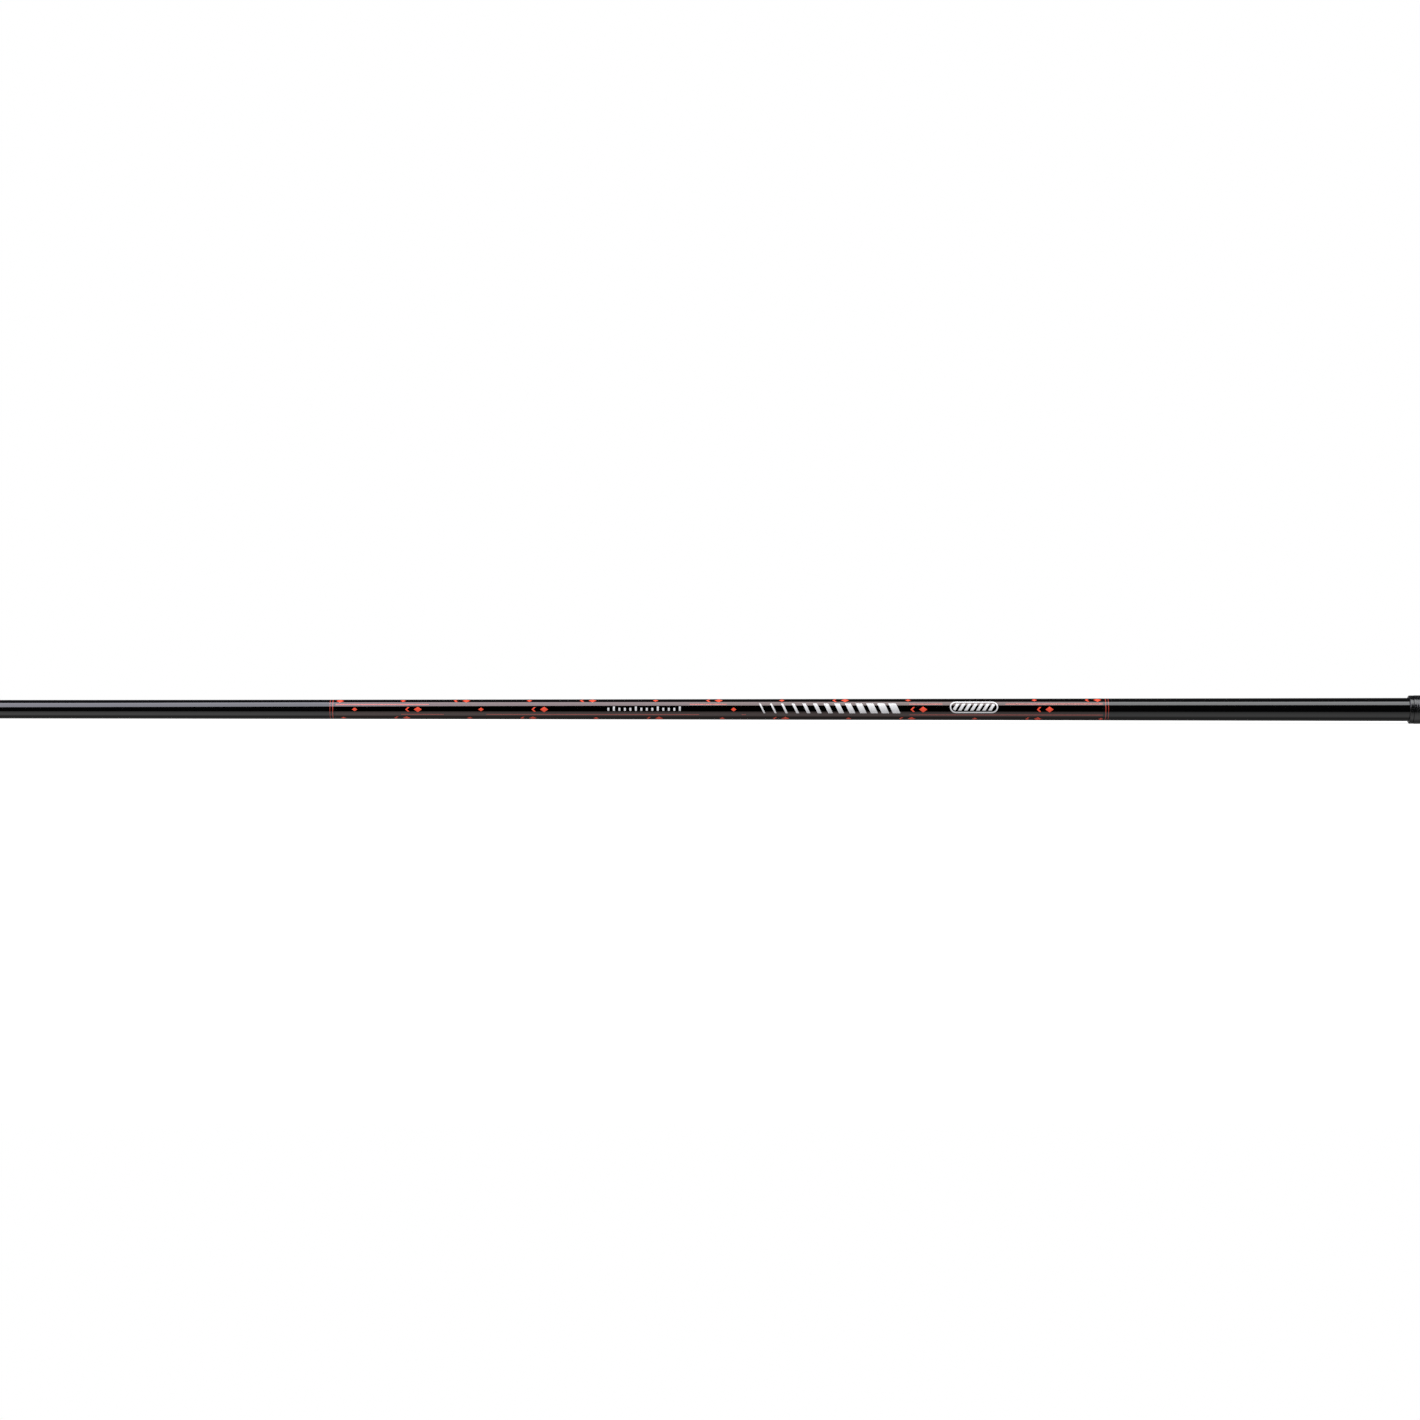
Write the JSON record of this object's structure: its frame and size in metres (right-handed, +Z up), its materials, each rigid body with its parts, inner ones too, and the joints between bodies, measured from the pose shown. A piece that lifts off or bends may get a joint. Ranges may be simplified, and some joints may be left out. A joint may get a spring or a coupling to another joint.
{
  "type": "telescopic pole rod",
  "caption": "Slim black telescopic fishing pole, closed for transport: nested tapered blanks, a screw cap with a rubber foot at the butt and a plug in the front end.",
  "frame": {"origin": "centre of the butt end's flat face, on the rubber foot let into the screw cap", "axes": "the pole lies level along X: +X points out of the butt end, -X towards the tip, +Z is up"},
  "size_m": [1.0954, 0.0208, 0.0208],
  "materials": {
    "printed_blank": "gloss",
    "plain_blank": "gloss",
    "lacquer_band": "gloss",
    "tip_fitting": "satin",
    "moulded_plastic": "gloss",
    "soft_rubber": "matte"
  },
  "bodies": {
    "butt": {"butt_section": "printed_blank", "butt_front_band": "lacquer_band", "butt_collar": "moulded_plastic"},
    "middle": {"middle_section": "plain_blank", "middle_front_band": "lacquer_band"},
    "tip": {"tip_tube": "plain_blank", "tip_rod": "plain_blank", "tip_sleeve": "tip_fitting"},
    "plug": {"tip_plug": "soft_rubber"},
    "cap_carrier": {"cap_pad": "soft_rubber", "cap_seal_ring": "soft_rubber"},
    "cap": {"butt_cap": "moulded_plastic", "cap_foot_disc": "soft_rubber"}
  },
  "joints": [
    {"name": "middle_draw", "type": "slide", "parent": "butt", "child": "middle", "axis": [-1, 0, 0], "range_m": [0, 0.9554]},
    {"name": "tip_draw", "type": "slide", "parent": "middle", "child": "tip", "axis": [-1, 0, 0], "range_m": [0, 0.9552]},
    {"name": "plug_pull", "type": "slide", "parent": "tip", "child": "plug", "axis": [-1, 0, 0], "range_m": [0, 0.025]},
    {"name": "cap_back_off", "type": "slide", "parent": "butt", "child": "cap_carrier", "axis": [1, 0, 0], "range_m": [0, 0.0121]},
    {"name": "cap_turn", "type": "hinge", "parent": "cap_carrier", "child": "cap", "pos_m": [-0.0133, 0, 0], "axis": [1, 0, 0], "range_deg": [0, 2160]}
  ],
  "couplings": [
    {"joint": "cap_back_off", "follows": "cap_turn", "m_per_rad": 0.00031831}
  ]
}
